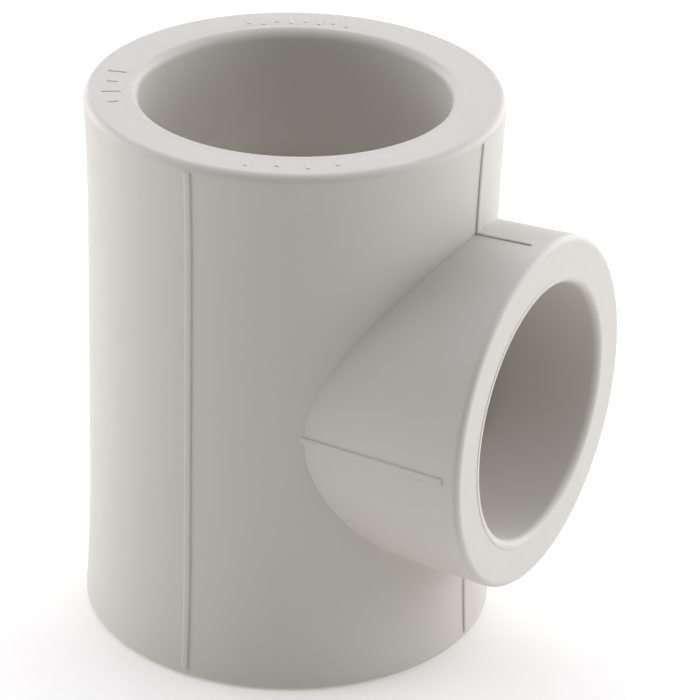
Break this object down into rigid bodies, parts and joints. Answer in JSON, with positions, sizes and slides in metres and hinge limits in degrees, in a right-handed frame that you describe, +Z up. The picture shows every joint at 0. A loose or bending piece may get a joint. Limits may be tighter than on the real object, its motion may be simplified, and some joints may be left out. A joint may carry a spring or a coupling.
{
  "type": "reducing pipe tee",
  "caption": "Light grey moulded reducing tee for socket-fusion plastic pipe: a straight thick-walled run with a plain socket at either end and a smaller plain socket at 90 degrees.",
  "frame": {"origin": "centre of the lower rim's plane, on the run's axis", "axes": "+Z up along the run, +X out along the branch, +Y to complete a right-handed frame"},
  "size_m": [0.1169, 0.0998, 0.1337],
  "materials": {
    "grey_polypropylene": "fine satin moulded surface, light warm grey all through"
  },
  "bodies": {
    "root": {"centre_body": "grey_polypropylene", "upper_socket": "grey_polypropylene", "lower_socket": "grey_polypropylene", "branch_socket": "grey_polypropylene", "run_rib_front": "grey_polypropylene", "run_rib_back": "grey_polypropylene", "run_rib_rear": "grey_polypropylene", "run_rib_above_branch": "grey_polypropylene", "run_rib_below_branch": "grey_polypropylene", "branch_rib_top": "grey_polypropylene", "branch_rib_bottom": "grey_polypropylene", "branch_rib_front": "grey_polypropylene", "branch_rib_back": "grey_polypropylene", "rim_marks_front": "grey_polypropylene", "rim_marks_left": "grey_polypropylene", "rim_marks_back": "grey_polypropylene"}
  },
  "joints": []
}
